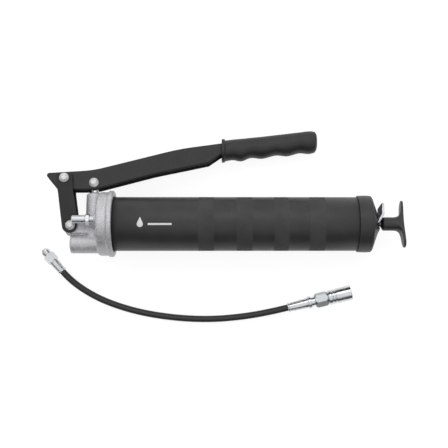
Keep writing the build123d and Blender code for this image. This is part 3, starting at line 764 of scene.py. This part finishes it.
def add_barrel():
    start, end = BARREL_ENDS
    edge = 0.3
    step = KNURL_PITCH / 4
    outer = []
    for low, high in KNURL_BANDS:
        count = round((high - low) / step)
        outer += [(low + (high - low) * share / count, BARREL_R) for share in range(count + 1)]
    outline = [
        (start, BARREL_BORE), (start, BARREL_R - edge), (start + edge, BARREL_R), *outer,
        (end - edge, BARREL_R), (end, BARREL_R - edge), (end, BARREL_BORE),
    ]
    around = round(math.tau * BARREL_R / step)
    around -= around % 4
    barrel = piece(lathe(outline, GUN, around, knurl), "barrel", "gun", "coat",
                   ["barrel_tube"], crease=60)
    # The knurled bands take the rougher coat, whose lighter colour is painted light.
    barrel.data.materials.append(FINISH["knurl"])
    to_gun = GUN.inverted()
    for face in barrel.data.polygons:
        x, y, z = to_gun @ face.center
        banded = any(low < x < high for low, high in KNURL_BANDS)
        face.material_index = int(banded and math.hypot(y, z) > SKIN_R)


def add_mark():
    """Generic print: a drop of grease, and a plain bar beside it."""
    facing_up = math.atan2(GUN.col[2].z, GUN.col[1].z)
    drop_x, drop_r, drop_tip = 50.0, 3.1, 7.4
    bar_start, bar_end, bar_half = 58.0, 82.0, 1.0
    touch = drop_r * drop_r / drop_tip
    wide = math.sqrt(drop_r * drop_r - touch * touch)

    def drop(v):
        """Half the drop's width, at v from the middle of its round end towards its tip."""
        if v < touch:
            return math.sqrt(max(drop_r * drop_r - v * v, 0))
        return wide * (drop_tip - v) / (drop_tip - touch)

    def strip(rows):
        """Thin printed patch on the barrel from (angle offset in mm, x from, x to) rows."""
        points, faces = [], []
        low, high = BARREL_R - 0.02, BARREL_R + 0.045
        for v, left, right in rows:
            angle = facing_up + v / BARREL_R
            for reach in (low, high):
                for x in (left, right):
                    points.append((x, reach * math.cos(angle), reach * math.sin(angle)))
        for row in range(len(rows) - 1):
            here, there = 4 * row, 4 * (row + 1)
            for first, second in ((0, 1), (1, 3), (3, 2), (2, 0)):
                faces.append((here + first, here + second, there + second, there + first))
        faces.append((0, 1, 3, 2))
        last = 4 * (len(rows) - 1)
        faces.append((last, last + 1, last + 3, last + 2))
        return closed_mesh(points, faces, GUN, weld=0.0001)

    count = 40
    rows = []
    for step in range(count + 1):
        v = -drop_r + (drop_tip + drop_r) * step / count
        half = max(drop(v), 0.02)
        rows.append((-v, drop_x - half, drop_x + half))
    piece(strip(rows), "drop_mark", "gun", "ink")
    bar_rows = [(bar_half * step / 4, bar_start, bar_end) for step in range(-4, 5)]
    piece(strip(bar_rows), "bar_mark", "gun", "ink")


# ---------------------------------------------------------------- head, linkage and handle

def near(first, second, middle, radius):
    """Which points, given by two of their coordinates, lie within a radius of a middle."""
    return np.hypot(first - middle[0], second - middle[1]) < radius


def add_castings():
    def head_fits(points):
        """Pump bore, outlet bore, barrel socket, the lug's hole and the filler's hole."""
        pump_r, outlet_r, socket_r, filler_r, pin_r = 6.6, 7.2, BARREL_R + 0.4, 4.2, 3.5
        pump_foot, outlet_end, socket_floor = -15, 4, 9.6
        x, y, z = points.T
        pump = near(x, z, (0, 0), pump_r) & (y > pump_foot)
        outlet = near(y, z, OUTLET, outlet_r) & (x < outlet_end)
        socket = near(y, z, (0, 0), socket_r) & (x > socket_floor)
        filler = near(y, z, FILLER, filler_r) & (x < socket_floor)
        return pump | outlet | socket | filler | near(x, y, LUG_PIN, pin_r)

    head = softened("head_casting", GUN, voxel=0.5, rounds=6, fixed=head_fits,
                    grain=0.10, grain_size=1.7)
    piece(head, "head", "gun", "casting", ["head_casting"], crease=50)

    def pin_holes(points):
        hole_r = 3.3
        x, y, z = points.T
        return near(x, y, LUG_PIN, hole_r) | near(x, y, LEVER_PIN, hole_r)

    link = softened("link_arm", GUN, voxel=0.4, rounds=3, fixed=pin_holes)
    piece(link, "link", "link", "link_coat", ["link_arm"], crease=50)

    def on_rod(points):
        x, y, z = points.T
        return near(y, z, (0, 0), ROD_R + 0.4)

    handle = softened("t_handle", GUN, voxel=0.4, rounds=14, fixed=on_rod)
    piece(handle, "handle", "rod", "handle", ["t_handle"], crease=60)
    plate = softened("latch_plate", GUN, voxel=0.3, rounds=2, fixed=on_rod)
    latch = piece(plate, "latch", "latch", "gun_plate", ["latch_plate"],
                  crease=50)
    # Painted shade and reflection: the plate's wide faces, and all of it inside the cap's slot,
    # take a near-black coat for the shade they lie in and the dark cap they reflect; only the
    # sheared edges outside the cap keep the bright plating.
    latch.data.materials.append(FINISH["painted_shade_plate"])
    pivot_line = GUN.col[2].xyz.normalized()
    to_gun = GUN.inverted()
    cap_slot_y = -2.0
    for face in latch.data.polygons:
        wide_face = abs(face.normal.dot(pivot_line)) < 0.6
        inside_cap = (to_gun @ face.center).y < cap_slot_y
        face.material_index = int(wide_face or inside_cap)


# Grip: (x, top, bottom, half width) of each section along the lever
GRIP_SECTIONS = (
    (135.0, 89.9, 68.2, 10.7),
    (144.0, 91.1, 69.6, 11.0),
    (153.0, 92.0, 68.3, 11.3),
    (163.0, 93.0, 72.0, 11.3),
    (175.0, 94.3, 71.2, 11.5),
    (190.0, 96.1, 74.8, 11.5),
    (202.0, 97.6, 74.0, 11.7),
    (214.5, 99.1, 77.3, 11.7),
    (224.8, 100.4, 76.6, 11.6),
    (230.2, 99.8, 78.2, 10.2),
    (233.1, 96.3, 83.0, 6.2),
)

# The grip's collar: start, end, top, bottom and half width, and its rings as (distance
# past an end, how far the ring is inside the outline)
COLLAR = (132.2, 135.8, 91.6, 66.9, 12.6)
COLLAR_FRONT = ((0, 0.7), (0.25, 0.2), (0.8, 0))
COLLAR_BACK = ((-0.9, 0.1), (-0.3, 0.5))
SEAM = 0.12

# The lever's tongue inside the grip, as (x, top, bottom) at both ends, and its half width
TONGUE = ((132.2, 85.8, 72.9), (222.4, 96.9, 84.7))
TONGUE_HALF = 7.55


def between(table, x):
    """Row of a table at x, on a smooth curve through its rows."""
    index = max(i for i, row in enumerate(table[:-1]) if row[0] <= x or i == 0)
    start, end = table[index], table[index + 1]
    before = table[max(index - 1, 0)]
    after = table[min(index + 2, len(table) - 1)]
    span = end[0] - start[0]
    t = (x - start[0]) / span
    values = []
    for column in range(1, len(start)):
        into = (end[column] - before[column]) / max(end[0] - before[0], 1e-6) * span
        out = (after[column] - start[column]) / max(after[0] - start[0], 1e-6) * span
        values.append(
            (2 * t ** 3 - 3 * t ** 2 + 1) * start[column] + (t ** 3 - 2 * t ** 2 + t) * into
            + (3 * t ** 2 - 2 * t ** 3) * end[column] + (t ** 3 - t ** 2) * out)
    return values


def add_grip():
    around = 96
    squared = 0.90
    pace = 1.0
    narrowing, rise = 0.52, 0.9
    rings = []

    def ring(x, top, bottom, half, seam):
        """Section of the grip: an oval, a little squared, with the mould's seam line."""
        middle, high = (top + bottom) / 2, (top - bottom) / 2
        points = []
        for step in range(around):
            angle = math.tau * step / around
            c, s = math.cos(angle), math.sin(angle)
            lift = 1 + (seam / high if abs(s) < 0.03 else 0)
            y = high * lift * math.copysign(abs(c) ** squared, c)
            z = half * math.copysign(abs(s) ** squared, s)
            points.append((x, middle + y, z))
        return points

    start, end, top, bottom, half = COLLAR
    for face_x, face_rings in ((start, COLLAR_FRONT), (end, COLLAR_BACK)):
        for past, inside in face_rings:
            rings.append(
                ring(face_x + past, top - inside, bottom + inside, half - inside, 0))
    body_top, body_bottom, body_half = between(GRIP_SECTIONS, end)
    rings.append(ring(end, body_top + 0.4, body_bottom - 0.4, body_half + 0.5, SEAM))
    x = end + pace / 2
    last = GRIP_SECTIONS[-2][0] - pace
    while x < last:
        rings.append(ring(x, *between(GRIP_SECTIONS, x), SEAM))
        x += pace
    end_top, end_bottom, end_half = between(GRIP_SECTIONS, last)
    tip = GRIP_SECTIONS[-1][0]
    steps = 12
    for step in range(1, steps + 1):
        angle = math.pi / 2 * step / steps
        shrink = narrowing * (1 - math.cos(angle))
        middle = (end_top + end_bottom) / 2 + rise * shrink
        high = (end_top - end_bottom) / 2 * (1 - shrink)
        reach = last + (tip - last) * math.sin(angle)
        rings.append(ring(reach, middle + high, middle - high, end_half * (1 - shrink),
                          SEAM * (1 - step / steps)))

    def socket(x):
        """Points round the lever's tongue, one for each point of the skin's ring."""
        (x0, top0, bottom0), (x1, top1, bottom1) = TONGUE
        share = (x - x0) / (x1 - x0)
        high = top0 + (top1 - top0) * share
        low = bottom0 + (bottom1 - bottom0) * share
        middle, reach = (high + low) / 2, (high - low) / 2
        points = []
        for step in range(around):
            angle = math.tau * step / around
            c, s = math.cos(angle), math.sin(angle)
            scale = 1 / max(abs(c), abs(s))
            points.append((x, middle + reach * c * scale, TONGUE_HALF * s * scale))
        return points

    inner = [socket(TONGUE[0][0]), socket(TONGUE[1][0])]
    loops = [inner[1], inner[0], *rings]
    points = [point for loop in loops for point in loop]
    faces = []
    for row in range(len(loops) - 1):
        here, there = row * around, (row + 1) * around
        for step in range(around):
            after = (step + 1) % around
            faces.append((here + step, here + after, there + after, there + step))
    faces.append(tuple(range(around)))
    final = (len(loops) - 1) * around
    faces.append(tuple(range(final, final + around)))
    piece(closed_mesh(points, faces, GUN), "grip", "lever", "grip",
          ["lever_grip"], crease=50)


# ---------------------------------------------------------------- springs and small parts

def gun_line(middle):
    """The gun's frame, moved to another (y, z) of it."""
    return Matrix.Translation(GUN @ Vector((0, *middle)) - GUN.translation) @ GUN


def add_spring(name, stands_for, body, place, shape, around=28):
    """Coil of (start, end, radius, wire, turns), given a mesh of its own."""
    made = piece(coil(*shape, place, around), name, body, "spring",
                 [stands_for])
    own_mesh(made)


def add_springs():
    add_spring("main_spring", "follower_spring", "gun", GUN,
               (20.6, 286.1, 24.2, 1.0, 13), around=48)
    add_spring("nipple_spring", "filler_nipple_spring", "gun", gun_line(FILLER),
               (-15.2, -1.2, 1.72, 0.26, 9))
    add_spring("valve_spring", "check_spring", "gun", gun_line(OUTLET),
               (-13.2, -8.45, 2.3, 0.28, 5))
    add_spring("latch_coil", "latch_spring", "gun", GUN,
               (286.0, 290.3, 4.1, 0.3, 4))
    piece(thread_ridge(*PORT_THREAD, gun_line(OUTLET), inward=True), "port_thread", "gun",
          "casting")


add_camera()
hose = add_hose()
finish_nodes()
add_studio()
add_hose_fittings()
add_barrel()
add_mark()
add_castings()
add_grip()
add_springs()
